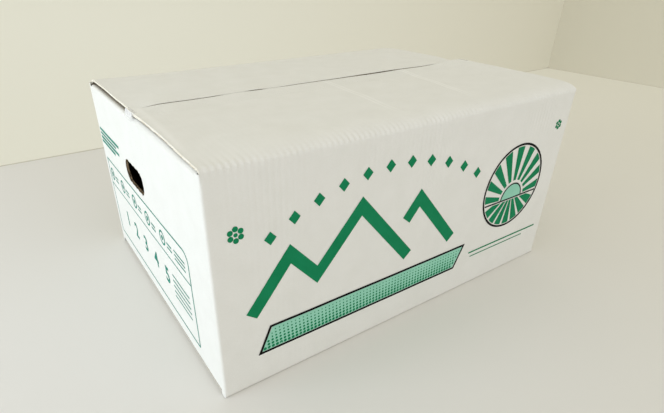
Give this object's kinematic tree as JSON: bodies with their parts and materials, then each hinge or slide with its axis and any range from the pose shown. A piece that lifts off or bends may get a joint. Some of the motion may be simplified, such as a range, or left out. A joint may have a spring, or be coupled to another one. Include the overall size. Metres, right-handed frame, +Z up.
{
  "type": "corrugated cardboard carton",
  "caption": "Closed white-lined corrugated produce carton with folding top flaps, clear tape on the seam and a hand hole in each end.",
  "frame": {"origin": "middle of the base, on the surface that the carton stands on", "axes": "+X along the carton's length, front wall facing -Y, left end facing -X, +Z up"},
  "size_m": [0.4962, 0.372, 0.2441],
  "materials": {
    "white_board": "matte white liner over brown corrugated board",
    "clear_tape": "clear glossy packing tape",
    "kraft_board": "brown kraft of the inner liner and the fluted medium",
    "green_print": "matte deep green ink on the white liner",
    "pale_green_print": "matte pale green ink on the white liner",
    "black_print": "matte black ink on the white liner"
  },
  "bodies": {
    "carton": {"front_panel": "white_board", "back_panel": "white_board", "left_end_panel": "white_board", "right_end_panel": "white_board", "glue_tab": "white_board", "bottom_flap_front": "white_board", "bottom_flap_back": "white_board", "bottom_flap_left": "white_board", "bottom_flap_right": "white_board", "tape_end_left": "clear_tape", "tape_end_right": "clear_tape"},
    "front_flap": {"top_flap_front": "white_board", "tape_top_front": "clear_tape"},
    "back_flap": {"top_flap_back": "white_board", "tape_top_back": "clear_tape"},
    "left_flap": {"top_flap_left": "white_board"},
    "right_flap": {"top_flap_right": "white_board"}
  },
  "joints": [
    {"name": "front_flap_fold", "type": "hinge", "parent": "carton", "child": "front_flap", "pos_m": [0, -0.1863, 0.238], "axis": [1, 0, 0], "range_deg": [0, 245]},
    {"name": "back_flap_fold", "type": "hinge", "parent": "carton", "child": "back_flap", "pos_m": [0, 0.1863, 0.238], "axis": [-1, 0, 0], "range_deg": [0, 245]},
    {"name": "left_flap_fold", "type": "hinge", "parent": "carton", "child": "left_flap", "pos_m": [-0.2442, 0, 0.2317], "axis": [0, 1, 0], "range_deg": [0, 75]},
    {"name": "right_flap_fold", "type": "hinge", "parent": "carton", "child": "right_flap", "pos_m": [0.2442, 0, 0.2317], "axis": [0, -1, 0], "range_deg": [0, 75]}
  ]
}
